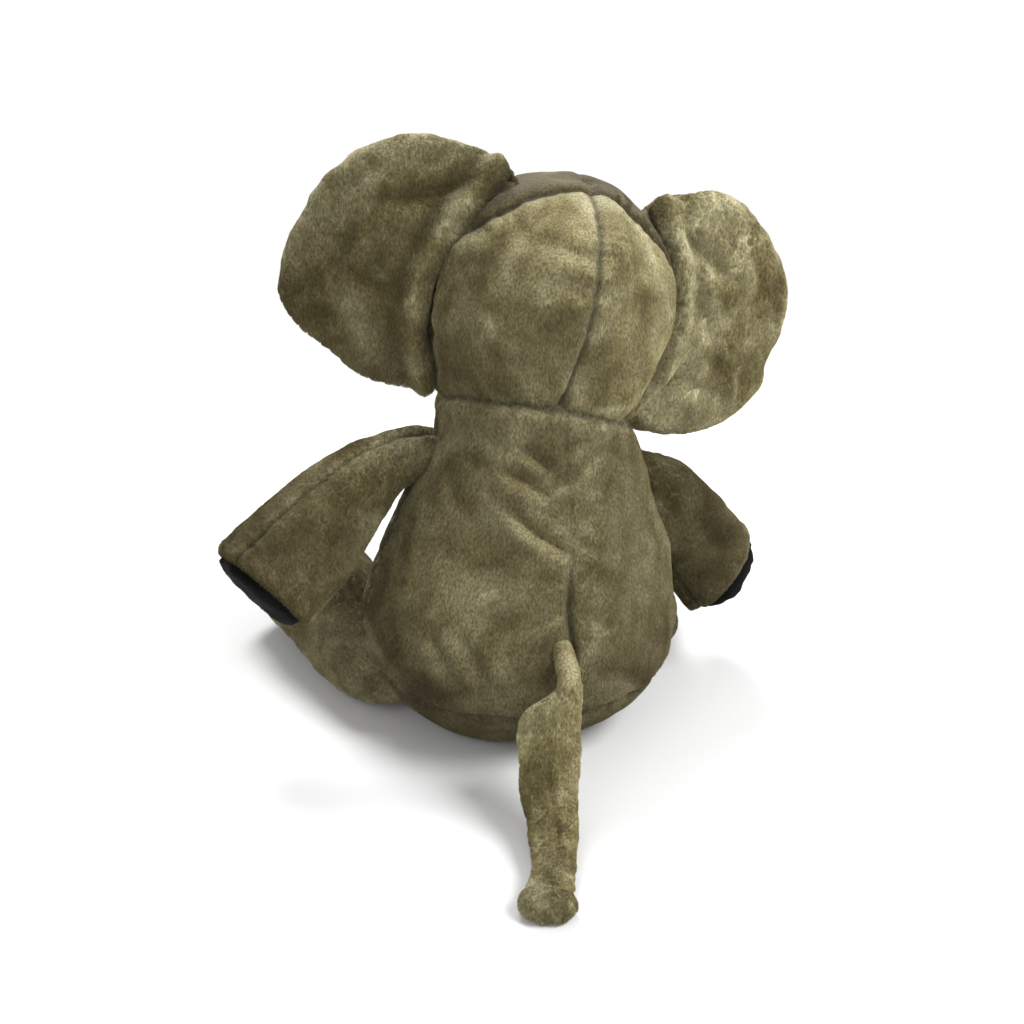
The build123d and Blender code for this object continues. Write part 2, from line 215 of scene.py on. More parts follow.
def to_line(points, line):
    """Each point's distance to a bent line and how far along it that is, from 0 to 1."""
    line = np.asarray(line, float)
    best = np.full(len(points), 1e9)
    along = np.zeros(len(points))
    for i in range(len(line) - 1):
        a, run = line[i], line[i + 1] - line[i]
        t = np.clip((points - a) @ run / max(run @ run, 1e-9), 0, 1)
        away = np.linalg.norm(points - a - np.outer(t, run), axis=1)
        nearer = away < best
        best[nearer] = away[nearer]
        along[nearer] = (i + t[nearer]) / (len(line) - 1)
    return best, along


def crease(points, line, depth, width):
    """A fold: a valley with a soft lip on both sides, which fades at its ends."""
    away, along = to_line(points, line)
    fade = np.sin(np.clip(along, 0.02, 0.98) * math.pi) ** 0.6
    valley = -depth * bell(away, width)
    lip = 0.45 * depth * bell(away - 2.1 * width, width)
    return (valley + lip) * fade


def seam(points, away, normal, seed, depth=1.3, width=1.3, pucker=0.45, where=None):
    """A sewn seam on a signed distance: a groove, full lips, and puckers across it."""
    flat = points - np.outer(away, normal)
    gather = ripples(flat, 8.0, seed) + 0.5 * ripples(flat, 4.2, seed + 1)
    near = np.abs(away)
    amount = -depth * bell(near, width)
    amount += 0.3 * depth * bell(near - 4.0, 3.2)
    amount += pucker * gather * bell(near, 6.5)
    depth_of = bell(near, 1.1)
    if where is not None:
        amount, depth_of = amount * where, depth_of * where
    return amount, depth_of


def lowpass(made, field, rounds):
    """A field on a mesh's points, smoothed over its edges."""
    edges = np.empty(len(made.data.edges) * 2, np.int32)
    made.data.edges.foreach_get("vertices", edges)
    a, b = edges.reshape(-1, 2).T
    degree = np.bincount(np.concatenate([a, b]), minlength=len(field))[:, None]
    for _ in range(rounds):
        total = np.zeros_like(field)
        np.add.at(total, a, field[b])
        np.add.at(total, b, field[a])
        field = 0.5 * field + 0.5 * total / np.maximum(degree, 1)
    return field


def stuff(made, voxel, pinned=None, gain=0.7, cap=2.0, swell=0.04, refine=2, even=3):
    """Remeshes a form evenly, lets over-long cloth buckle on it under pressure, and refines it."""
    remesh = made.modifiers.new("even", "REMESH")
    remesh.mode = "VOXEL"
    remesh.voxel_size = voxel * MM
    bake(made)
    before = lowpass(made, coords(made), even)
    set_coords(made, before)
    if gain > 0:
        cloth = made.modifiers.new("cloth", "CLOTH")
        s = cloth.settings
        s.quality = 6
        s.mass = 0.1
        s.tension_stiffness = 25
        s.compression_stiffness = 25
        s.shear_stiffness = 8
        s.bending_stiffness = 0.05
        s.shrink_min = -swell
        s.use_pressure = True
        s.uniform_pressure_force = 4
        s.effector_weights.gravity = 0
        if pinned is not None:
            group = made.vertex_groups.new(name="sewn")
            group.add([int(i) for i in np.flatnonzero(pinned(before))], 1.0, "REPLACE")
            s.vertex_group_mass = "sewn"
        scene = bpy.context.scene
        for number in range(1, 17):
            scene.frame_set(number)
        bake(made)
        made.vertex_groups.clear()
        moved = coords(made) - before
        moved = lowpass(made, moved, 3) - lowpass(made, moved, 60)
        moved *= gain
        reach = np.linalg.norm(moved, axis=1)[:, None]
        moved *= np.minimum(1, cap / np.maximum(reach, 1e-9))
        set_coords(made, before + moved)
    finer = made.modifiers.new("finer", "SUBSURF")
    finer.levels = refine
    finer.render_levels = refine
    bake(made)
    smooth_shaded(made)


def press(made, amount, floor=0.4, tuck=None):
    """Moves a mesh's points along its normals, and keeps them above the table.

    A tuck moves them only squarely to the neck's axis.
    """
    facing = normals(made)
    points = coords(made) + facing * np.asarray(amount)[:, None]
    if tuck is not None:
        sideways = facing - np.outer(facing @ NECK_UP, NECK_UP)
        points += sideways * np.asarray(tuck)[:, None]
    points[:, 2] = np.maximum(points[:, 2], floor)
    set_coords(made, points)


def mark(made, nap_and_painted_light, sewn):
    """Stores each point's brushed-nap tone, with painted light and painted shade in it, and how near a seam
    it is, as one colour.

    The pile's strands read only colours that lie on face corners.
    """
    corners = np.empty(len(made.data.loops), np.int32)
    made.data.loops.foreach_get("vertex_index", corners)
    rows = np.zeros((len(corners), 4), np.float32)
    rows[:, 0] = np.clip(nap_and_painted_light, 0, 1)[corners]
    rows[:, 1] = np.clip(sewn, 0, 1)[corners]
    rows[:, 3] = 1
    layer = made.data.color_attributes.new("nap_and_painted_light", "BYTE_COLOR", "CORNER")
    layer.data.foreach_set("color", rows.ravel())


def split_off(made, name, test):
    """Moves the faces whose middle passes a test to a new object."""
    middles = np.empty(len(made.data.polygons) * 3, np.float32)
    made.data.polygons.foreach_get("center", middles)
    chosen = test(middles.reshape(-1, 3).astype(float) / MM)
    other = made.copy()
    other.data = made.data.copy()
    other.name = name
    bpy.context.scene.collection.objects.link(other)
    for one, drop in ((made, chosen), (other, ~chosen)):
        bm = bmesh.new()
        bm.from_mesh(one.data)
        bm.faces.ensure_lookup_table()
        bmesh.ops.delete(bm, geom=[bm.faces[int(i)] for i in np.flatnonzero(drop)], context="FACES")
        bm.to_mesh(one.data)
        bm.free()
    return other


def dark_patch(made, name, chosen):
    """The chosen faces, split off as a piece of the dark second cloth."""
    patch = split_off(made, name, chosen)
    patch.data.materials.clear()
    patch.data.materials.append(SUEDE)
    return patch


def cut_plane(made, where, normal):
    """Adds an edge loop where a plane crosses the mesh."""
    bm = bmesh.new()
    bm.from_mesh(made.data)
    whole = bm.verts[:] + bm.edges[:] + bm.faces[:]
    bmesh.ops.bisect_plane(
        bm, geom=whole, dist=1e-5, plane_co=tuple(np.asarray(where) * MM), plane_no=tuple(normal)
    )
    bm.to_mesh(made.data)
    bm.free()


def cut_off(made, where, normal):
    """Cuts away what lies past a plane and closes the cut."""
    bm = bmesh.new()
    bm.from_mesh(made.data)
    cut = bmesh.ops.bisect_plane(
        bm,
        geom=bm.verts[:] + bm.edges[:] + bm.faces[:],
        plane_co=tuple(where * MM),
        plane_no=tuple(normal),
        clear_outer=True,
    )
    loop = [e for e in cut["geom_cut"] if isinstance(e, bmesh.types.BMEdge)]
    bmesh.ops.contextual_create(bm, geom=loop)
    bm.to_mesh(made.data)
    bm.free()


# --- Materials -------------------------------------------------------------------------------


def nodes_of(name):
    material = bpy.data.materials.new(name)
    material.use_nodes = True
    tree = material.node_tree
    shader = tree.nodes["Principled BSDF"]
    return material, tree, shader


def add_node(tree, kind, inputs=None, **settings):
    node = tree.nodes.new(kind)
    for key, value in settings.items():
        setattr(node, key, value)
    for key, value in (inputs or {}).items():
        if isinstance(value, bpy.types.NodeSocket):
            tree.links.new(value, node.inputs[key])
        else:
            node.inputs[key].default_value = value
    return node


def place_in(tree):
    """Where a point is, in the object's own coordinates."""
    return add_node(tree, "ShaderNodeTexCoord").outputs["Object"]


def noise(tree, place, scale, detail=2.0, distortion=0.0):
    inputs = {"Vector": place, "Scale": scale, "Detail": detail, "Distortion": distortion}
    return add_node(tree, "ShaderNodeTexNoise", inputs).outputs["Fac"]


def bumpy(tree, shader, height, strength, depth):
    bump = add_node(tree, "ShaderNodeBump", {"Height": height, "Strength": strength, "Distance": depth})
    tree.links.new(bump.outputs[0], shader.inputs["Normal"])


def ramp(tree, source, stops):
    node = add_node(tree, "ShaderNodeValToRGB", {"Fac": source})
    band = node.color_ramp
    while len(band.elements) < len(stops):
        band.elements.new(0.5)
    for element, (at, colour) in zip(band.elements, stops):
        element.position = at
        element.color = (*colour, 1)
    return node.outputs["Color"]


def mixed(tree, how, amount, a, b):
    node = add_node(tree, "ShaderNodeMix", data_type="RGBA", blend_type=how)
    for socket, value in ((node.inputs[0], amount), (node.inputs[6], a), (node.inputs[7], b)):
        if isinstance(value, bpy.types.NodeSocket):
            tree.links.new(value, socket)
        else:
            socket.default_value = value
    return node.outputs[2]


def plush_colour(tree, light):
    """Patches of pile brushed one way and the other, with fine tufts in them."""
    place = place_in(tree)
    broad = noise(tree, place, 24.0, 2.0, 1.2)
    narrow = noise(tree, place, 62.0, 1.5, 1.0)
    patches = add_node(tree, "ShaderNodeMath", {0: narrow, 1: 0.5}, operation="MULTIPLY").outputs[0]
    patches = add_node(tree, "ShaderNodeMath", {0: broad, 1: patches}, operation="ADD").outputs[0]
    red, green, blue = light
    colour = ramp(
        tree,
        patches,
        [
            (0.56, (0.55 * red, 0.51 * green, 0.40 * blue)),
            (0.70, (0.84 * red, 0.81 * green, 0.72 * blue)),
            (0.82, (1.12 * red, 1.14 * green, 1.18 * blue)),
            (0.96, (1.60 * red, 1.66 * green, 1.90 * blue)),
        ],
    )
    fine = (1400.0, 1400.0, 620.0)
    rows = add_node(tree, "ShaderNodeVectorMath", {0: place, 1: fine}, operation="MULTIPLY").outputs[0]
    tufts = noise(tree, rows, 1.0)
    grain = ramp(tree, tufts, [(0.36, (0.58, 0.57, 0.54)), (0.64, (1.32, 1.32, 1.32))])
    colour = mixed(tree, "MULTIPLY", 0.9, colour, grain)
    stored = add_node(tree, "ShaderNodeAttribute", attribute_name="nap_and_painted_light").outputs["Color"]
    stored = add_node(tree, "ShaderNodeSeparateColor", {"Color": stored})
    nap_and_painted_light, sewn = stored.outputs[0], stored.outputs[1]
    # The stored tone darkens or lightens the cloth: brushed nap, painted light and painted shade
    shades = [(0.0, (0.36, 0.33, 0.27)), (0.5, (1.0, 1.0, 1.0)), (1.0, (1.75, 1.80, 1.95))]
    colour = mixed(tree, "MULTIPLY", 1.0, colour, ramp(tree, nap_and_painted_light, shades))
    return mixed(tree, "MIX", sewn, colour, (0.030, 0.026, 0.016, 1)), tufts


def plush(name, light):
    """The cloth under the pile."""
    material, tree, shader = nodes_of(name)
    colour, tufts = plush_colour(tree, light)
    tree.links.new(colour, shader.inputs["Base Color"])
    shader.inputs["Roughness"].default_value = 0.85
    shader.inputs["Specular IOR Level"].default_value = 0.2
    shader.inputs["Sheen Weight"].default_value = 0.35
    shader.inputs["Sheen Roughness"].default_value = 0.5
    shader.inputs["Sheen Tint"].default_value = (0.75, 0.70, 0.58, 1)
    bumpy(tree, shader, tufts, 0.9, 0.0006)
    return material


def suede(name):
    """The dark flat cloth of the soles and the snout."""
    material, tree, shader = nodes_of(name)
    place = place_in(tree)
    fine = noise(tree, place, 900.0, 4.0)
    broad = noise(tree, place, 60.0, 3.0)
    colour = ramp(tree, broad, [(0.35, (0.003, 0.003, 0.003)), (0.7, (0.008, 0.0075, 0.0075))])
    tree.links.new(colour, shader.inputs["Base Color"])
    shader.inputs["Roughness"].default_value = 0.9
    shader.inputs["Specular IOR Level"].default_value = 0.05
    shader.inputs["Sheen Weight"].default_value = 0.015
    bumpy(tree, shader, fine, 0.6, 0.0003)
    return material


def glossy(name, colour):
    """Hard shiny plastic."""
    material, tree, shader = nodes_of(name)
    wear = noise(tree, place_in(tree), 350.0, 3.0)
    rough = ramp(tree, wear, [(0.3, (0.07,) * 3), (0.7, (0.16,) * 3)])
    tree.links.new(rough, shader.inputs["Roughness"])
    shader.inputs["Base Color"].default_value = (*colour, 1)
    shader.inputs["Coat Weight"].default_value = 0.6
    return material


def woven(name, dark, bright, scale):
    """Plain cloth, thread or wadding: two tones of fine fibres."""
    material, tree, shader = nodes_of(name)
    fibres = noise(tree, place_in(tree), scale, 5.0)
    tree.links.new(ramp(tree, fibres, [(0.35, dark), (0.65, bright)]), shader.inputs["Base Color"])
    shader.inputs["Roughness"].default_value = 0.9
    bumpy(tree, shader, fibres, 0.5, 0.0004)
    return material


def pile_strands(name, light):
    """The pile itself, darker at its roots than at its tips."""
    material, tree, shader = nodes_of(name)
    colour, _ = plush_colour(tree, light)
    along = add_node(tree, "ShaderNodeHairInfo").outputs["Intercept"]
    tips = ramp(tree, along, [(0.0, (0.70, 0.70, 0.67)), (1.0, (1.18, 1.17, 1.12))])
    colour = mixed(tree, "MULTIPLY", 1.0, colour, tips)
    tree.links.new(colour, shader.inputs["Base Color"])
    shader.inputs["Roughness"].default_value = 0.62
    shader.inputs["Specular IOR Level"].default_value = 0.35
    return material


LIGHT = (0.222, 0.194, 0.101)
PLUSH = plush("plush", LIGHT)
STRANDS = pile_strands("plush_pile", tuple(1.15 * c for c in LIGHT))
SUEDE = suede("suede")
THREAD = woven("thread", (0.05, 0.045, 0.03), (0.12, 0.10, 0.07), 1500.0)

PILE_LENGTH = 1.3
STRAND_DENSITY = 19.0  # strands to a square millimetre
GUIDES = 0.2  # simulated strands to a square millimetre, among which the rest are spread


def grow_pile(made, seed, length, comb):
    """Short pile combed one way over a cover, and shorter in its seams."""
    area = sum(p.area for p in made.data.polygons) / MM**2
    made.data.materials.append(STRANDS)
    modifier = made.modifiers.new("pile", "PARTICLE_SYSTEM")
    system = modifier.particle_system
    system.seed = seed
    s = system.settings
    s.type = "HAIR"
    s.use_advanced_hair = True
    s.count = int(area * GUIDES)
    s.hair_step = 3
    s.display_step = 2
    s.render_step = 2
    s.emit_from = "FACE"
    s.use_even_distribution = True
    push = length * MM / 4  # a strand grows to four times what pushes it
    s.normal_factor = 0.50 * push
    s.object_align_factor = [0.72 * push * c for c in comb]
    s.factor_random = 0.05 * push
    s.child_type = "INTERPOLATED"
    s.child_percent = 1
    s.rendered_child_count = int(STRAND_DENSITY / GUIDES)
    s.clump_factor = 0.18
    s.roughness_1 = 0.00004
    s.roughness_1_size = 0.003
    s.roughness_2 = 0.0001
    s.roughness_endpoint = 0.00004
    s.root_radius = 1.0
    s.tip_radius = 0.4
    s.radius_scale = 0.000085
    s.material = len(made.data.materials)
    if "bare" in made.vertex_groups:
        system.vertex_group_length = "bare"


def pile_length(made, values):
    """The pile's length at each point, from 0 to 1, as a vertex group."""
    group = made.vertex_groups.new(name="bare")
    steps = np.round(np.clip(values, 0.05, 1) * 10).astype(int)
    for step in np.unique(steps):
        group.add([int(i) for i in np.flatnonzero(steps == step)], step / 10, "REPLACE")


def finish_cover(made, sewn, seed, comb=(0, 0, -1), length=PILE_LENGTH, nap_and_painted_light=0.0):
    """Stores the seams and the tone of the brushed nap with painted light and painted shade, from -1, dark,
    to 1, light.

    Gives the piece with what grow_pile needs for it.
    """
    mark(made, 0.5 + 0.5 * np.broadcast_to(nap_and_painted_light, len(sewn)), 0.75 * sewn)
    pile_length(made, 1 - 0.7 * sewn)
    made.data.materials.clear()
    made.data.materials.append(PLUSH)
    smooth_shaded(made)
    return made, seed, comb, length


# --- Torso -----------------------------------------------------------------------------------


# (height, radius)
TORSO_PROFILE = [
    (0.6, 1), (0.6, 16), (0.8, 26), (2.5, 33), (7, 41.5), (16, 51.5), (30, 60.0), (45, 61.7), (60, 59.0),
    (75, 53.8), (89, 48.4), (104, 42.2), (116, 38.2), (128, 36.4), (146, 36), (148, 20), (148, 1),
]

# Folds pulled by the hand-closed back seam, the neck and the tail, as places (angle, height) on
# the torso, with their depth and width
TORSO_FOLDS = [
    ([(30, 104), (16, 96.5), (2, 89)], 2.04, 2.3),
    ([(38, 117), (22, 113.5), (5, 107)], 1.564, 2.6),
    ([(25, 126), (14, 120), (4, 113)], 1.496, 2.4),
    ([(-2, 112), (-14, 118), (-24, 124)], 1.36, 2.2),
    ([(42, 60), (33, 49), (24, 38)], 1.36, 2.6),
    ([(54, 58), (46, 48), (38, 40)], 0.952, 2.6),
    ([(0, 96), (-8, 90), (-14, 86)], 0.748, 2.0),
    ([(0, 72), (10, 66), (20, 63)], 0.748, 2.2),
    ([(-2, 70), (-12, 62), (-22, 60)], 0.68, 2.2),
    ([(3, 51), (12, 44), (22, 41)], 0.748, 2.4),
    ([(-1, 51), (-12, 44), (-24, 42)], 0.748, 2.4),
    ([(70, 112), (60, 104), (50, 100)], 0.816, 2.6),
    ([(-70, 98), (-60, 92), (-48, 90)], 0.816, 2.6),
    ([(75, 92), (66, 80), (62, 68)], 0.68, 3.0),
    ([(118, 110), (135, 106), (150, 104)], 0.816, 2.6),
    ([(-118, 100), (-135, 96), (-150, 95)], 0.816, 2.6),
]
SIDEWAYS = np.array([math.cos(LEAN), 0, math.sin(LEAN)])


def leaning(x, z):
    """Where an x at the waist has moved to at a height, because the torso leans."""
    return x - (z - WAIST_Z) * math.tan(LEAN)


def on_torso(angle, z, out=0.0):
    """A place on the torso, angle from the middle of the back towards the left side."""
    radius = np.interp(z, [r[0] for r in TORSO_PROFILE], [r[1] for r in TORSO_PROFILE]) + out
    a = math.radians(angle)
    return np.array([leaning(1.5, z) + radius * math.sin(a), radius * math.cos(a), z])


def off_middle(p):
    """Signed distance to the torso's leaning middle plane."""
    return (p - (0, 0, WAIST_Z)) @ SIDEWAYS


def above_neck(p):
    return (p - NECK) @ NECK_UP


def gathers_at_neck(p, seed):
    """Puckers that run across the neck seam."""
    flat = p - np.outer(above_neck(p), NECK_UP)
    return ripples(flat, 9.0, seed) + 0.6 * ripples(flat, 4.6, seed + 1)


def torso_form():
    t = np.linspace(0, 2 * math.pi, 72, endpoint=False)
    rings = []
    for z, radius in TORSO_PROFILE:
        centre = leaning(0.9, z)
        rings.append(np.stack([centre + radius * np.cos(t), radius * np.sin(t), np.full(72, z)], 1))
    made = skin("body_cover", rings)
    # The form runs a little way up into the head
    cut_off(made, NECK + 10 * NECK_UP, NECK_UP)

    def pinned(p):
        back = (np.abs(off_middle(p)) < 3) & (p[:, 1] > 0)
        seat = np.abs(p[:, 2] - SEAT_SEAM_Z) < 2.5
        return back | seat | (above_neck(p) > -5) | (p[:, 2] < 3)

    stuff(made, 3.4, pinned)
    return made


def torso_seams(p):
    """How far the seams move the cover, and how dark they are."""
    z = p[:, 2]
    back = soft_step(p[:, 1], -2, 8)
    front = soft_step(-p[:, 1], -2, 8)
    wall = soft_step(z, 3, 8)
    above = soft_step(z, SEAT_SEAM_Z - 2, SEAT_SEAM_Z + 2)
    drift = off_middle(p) - BACK_SEAM_X - 1.2 * np.sin(z / 9.0)
    # The back seam is deep near the tail and faint higher up
    faint = 0.75 - 0.45 * soft_step(z, 76, 92)
    rows = (
        (drift, SIDEWAYS, back * above * faint, 1.3, 21),
        (z - SEAT_SEAM_Z, np.array([0.0, 0.0, 1.0]), wall, 2.3, 31),
        (p[:, 1] - SIDE_SEAM_Y, np.array([0.0, 1.0, 0.0]), above, 1.3, 41),
        (off_middle(p), SIDEWAYS, front * above * 0.6, 1.3, 51),
    )
    total = np.zeros(len(p))
    sewn = np.zeros(len(p))
    for away, normal, where, depth, seed in rows:
        amount, dark = seam(p, away, normal, seed, depth=depth, where=where)
        total += amount
        sewn = np.maximum(sewn, dark)
    sewn = np.maximum(sewn, bell(z - SEAT_SEAM_Z, 1.7) * wall)
    # The stretch that is closed by hand is deeper
    closed = back * bell(drift, 1.6) * soft_step(z, 46, 52) * (1 - soft_step(z, 70, 84))
    return total - 1.6 * closed, np.maximum(sewn, closed)


def torso():
    made = torso_form()
    p = coords(made)
    wall = soft_step(p[:, 2], 3, 8)
    total = 0.75 * ripples(p, 46, 11) * wall + 0.35 * ripples(p, 17, 12) * wall
    amount, sewn = torso_seams(p)
    total += amount
    neck = above_neck(p)
    total += 0.8 * gathers_at_neck(p, 61) * bell(neck, 8.0) * (neck < 0)
    tuck = -2.0 * bell(neck, 2.6) * (neck < 0) - 2.0 * (neck >= 0) - 2.0 * soft_step(neck, 0, 4)
    sewn = np.maximum(sewn, bell(neck - 0.5, 1.7))
    for line, depth, width in TORSO_FOLDS:
        total += crease(p, [on_torso(a, z) for a, z in line], depth, width)
    knot = distance(p, on_torso(4, 112))
    total -= 1.8 * bell(knot, 3.0)
    total[p[:, 2] < 1.2] = 0
    press(made, total, tuck=tuck)
    # Painted shade: darker towards the bottom, low by the table and the limbs, and darker towards the left
    # side, away from the key lamp; lighter in two spots higher on the back
    nap_and_painted_light = -0.30 - 0.5 * (1 - soft_step(p[:, 2], 12, 62)) - 0.15 * soft_step(p[:, 0], 20, 50)
    nap_and_painted_light += 0.25 * bell(distance(p, on_torso(48, 80)), 22)
    nap_and_painted_light += 0.35 * bell(distance(p, on_torso(14, 91)), 8)
    return finish_cover(made, sewn, 101, nap_and_painted_light=nap_and_painted_light)


# --- Head ------------------------------------------------------------------------------------


# (distance along the axis from the head's middle to the neck, radius)
HEAD_PROFILE = [
    (-46.6, 1), (-45.8, 10), (-42.3, 20), (-36, 29.8), (-27, 38.2), (-14, 44.6), (0, 46.7), (12, 45.4),
    (22, 42.4), (30, 39.2), (37, 36.8), (42, 35.8), (52, 36), (54, 20), (54, 1),
]

# Folds in the head's frame: the back's dimple, the cheeks by the ears, the chin
HEAD_FOLDS = [
    ([(9, 45, 14), (6, 46, 12), (3, 46, 10)], 0.9, 2.2),
    ([(-16, 42, -14), (-24, 38, -12), (-32, 32, -12)], 1.275, 2.4),
    ([(-14, 39, -22), (-24, 36, -20), (-33, 30, -20)], 1.125, 2.4),
    ([(-8, 34, -32), (-18, 33, -30), (-28, 28, -29)], 1.05, 2.4),
    ([(16, 42, -14), (26, 37, -15), (34, 30, -17)], 0.75, 2.6),
    ([(12, 37, -28), (22, 34, -27), (32, 27, -27)], 0.75, 2.6),
    ([(30, 26, 28), (36, 24, 18), (40, 22, 6)], 0.675, 3.0),
    ([(-30, 26, 28), (-36, 24, 18), (-40, 22, 6)], 0.675, 3.0),
    ([(2, 40, 24), (10, 38, 26), (18, 34, 28)], 0.6, 2.4),
]


def eye_heading(side):
    a, e = math.radians(side * 33), math.radians(9)
    return np.array([math.sin(a) * math.cos(e), -math.cos(a) * math.cos(e), math.sin(e)])


def head_form():
    axis = unit(NECK - HEAD)
    across = unit(np.cross(axis, (0.0, 1.0, 0.0)))
    up = np.cross(axis, across)
    made = skin("head_cover", [ring(HEAD + axis * h, across, up, r, r, count=72) for h, r in HEAD_PROFILE])
    cut_off(made, NECK + 0.2 * NECK_UP, -NECK_UP)

    def pinned(p):
        q = in_head(p)
        back = (np.abs(q[:, 0]) < 3) & (q[:, 1] > 0)
        return back | (above_neck(p) < 5)

    stuff(made, 3.4, pinned)
    return made


def head():
    made = head_form()
    p = coords(made)
    q = in_head(p)
    total = 0.7 * ripples(p, 40, 71) + 0.3 * ripples(p, 15, 72)
    sewn = np.zeros(len(p))
    # The crown seam runs over the head from ear to ear, a little further back at its middle
    crown = q[:, 1] - (4.0 + (CROWN_SEAM - 4.0) * soft_step(q[:, 2], 5, 38))
    rear = soft_step(crown, -1, 1.5)
    for away, normal, where, seed in (
        (crown, np.array([0.0, 1.0, 0.0]), soft_step(q[:, 2], -60, -20), 81),
        (q[:, 0] - 2.5 * rear, HEAD_AXES[0], rear, 91),
        (q[:, 0], HEAD_AXES[0], (1 - rear) * 0.8, 95),
    ):
        amount, dark = seam(p, away, normal, seed, depth=1.1, where=where)
        total += amount
        sewn = np.maximum(sewn, dark)
    neck = above_neck(p)
    total += 0.8 * gathers_at_neck(p, 63) * bell(neck, 8.0) * soft_step(neck, 0, 2)
    tuck = -0.9 * bell(neck, 3.0)
    sewn = np.maximum(sewn, bell(neck, 1.6))
    for line, depth, width in HEAD_FOLDS:
        total += crease(p, [from_head(v) for v in line], depth, width)
    # Cheeks full beside the trunk and sockets for the eyes, so the face isn't a plain ball
    for side in (1, -1):
        cheek = distance(q, (side * 22, -38, -16))
        total += 2.2 * bell(cheek, 14)
        socket = distance(q, 46.5 * eye_heading(side))
        total -= 2.0 * bell(socket, 6.5)
    press(made, total, tuck=tuck)
    # Brushed dark before the crown seam; painted light on the back's right half and upper left, where the
    # lamps fall, and painted shade low on the back and at the far left side
    nap_and_painted_light = -0.75 * (1 - rear) * soft_step(q[:, 2], 10, 30) - 0.25 * (1 - rear)
    light = 0.55 * soft_step(-q[:, 0], -2, 12) + 0.4 * soft_step(q[:, 2], 12, 32) * (q[:, 0] > 2.5)
    nap_and_painted_light += rear * light
    nap_and_painted_light -= 0.35 * rear * soft_step(-q[:, 2], 18, 34) + 0.25 * soft_step(q[:, 0], 28, 42)
    return finish_cover(made, sewn, 102, nap_and_painted_light=nap_and_painted_light)


# --- Ears ------------------------------------------------------------------------------------


# (out from the head, up) from the hinge, for the edge all round
EAR_LEFT = [
    (-21, 26), (-22, 32), (-18, 38), (-9, 43), (4, 45.5), (19, 44.5), (32, 38), (43, 25), (51, 10),
    (54, -5), (53, -19), (50, -27.5), (45, -31.5), (35, -37.5), (23, -43), (11, -45), (-1, -43.5),
    (-10, -38.5), (-14, -29), (-12, -15), (-9, 0), (-12, 16),
]
EAR_RIGHT = [
    (-19, 26), (-18, 34), (-11, 41.5), (0, 46), (11, 48), (23, 47), (36, 41), (48, 30.5), (56, 17),
    (59.5, 4), (58, -6), (60, -13), (61, -22), (56, -31), (48, -39), (36, -44), (22, -46), (8, -44),
    (-6, -40), (-16, -30), (-13, -15), (-9, 0), (-12, 16),
]
EAR_ROOT = [(-19, 44), (-10, 20), (-4.5, 0), (-5.5, -20), (-14, -41)]
EAR_FOLDS = [
    ([(-12, 40), (2, 31), (16, 23), (27, 20)], 2.0, 3.0),
    ([(30, 34), (38, 20), (40, 4)], 1.0, 3.4),
    ([(12, -20), (26, -26), (40, -26)], 1.0, 3.2),
    ([(14, 6), (22, -4), (26, -14)], 1.0, 2.8),
    ([(40, -14), (47, -22), (50, -30)], 1.5, 2.6),
]
EARS = {
    1: {"name": "left", "outline": EAR_LEFT, "sweep": 30, "seed": 201, "nap_and_painted_light": -0.15},
    -1: {"name": "right", "outline": EAR_RIGHT, "sweep": 14, "seed": 231, "nap_and_painted_light": 0.5},
}


def ear_axes(side):
    """The ear's hinge, and its directions outwards, upwards and backwards."""
    sweep = math.radians(EARS[side]["sweep"])
    out = side * math.cos(sweep) * HEAD_AXES[0] - math.sin(sweep) * HEAD_AXES[1]
    up = HEAD_AXES[2]
    rear = np.cross(out, up)
    if rear[1] < 0:
        rear = -rear
    return from_head((side * 49.6, 4, 1)), out, up, rear


def ear_form(side):
    """A flat pad with a rounded rim, dished towards the front."""
    hinge, out, up, rear = ear_axes(side)
    edge = EARS[side]["outline"]
    middle = np.array([18.0, 1.0])
    outline = spline([(u, w, 0, 0) for u, w in edge + edge[:1]], 121)[:-1, :2]
    outline = middle + 1.075 * (outline - middle)

    def loop(share, height):
        u, w = (middle + share * (outline - middle)).T
        dish = ((u - 22) ** 2 + w**2) / (2 * 118)
        return hinge + np.outer(u, out) + np.outer(w, up) + np.outer(height - dish, rear)

    shares = np.sin(np.linspace(0.06, 1, 22) * math.pi / 2)
    thickness = {share: 3.4 * math.sqrt(max(1 - share**2.6, 0)) + 1.5 for share in shares}
    rings = [loop(share, thickness[share]) for share in shares]
    rings += [loop(share, -thickness[share]) for share in shares[::-1]]
    if side < 0:
        rings = rings[::-1]
    made = skin("ear_" + EARS[side]["name"], rings)
    stuff(made, 2.3, lambda p: (p - hinge) @ out < -4, gain=0.8, cap=1.8, swell=0.05, even=9)
    return made, outline


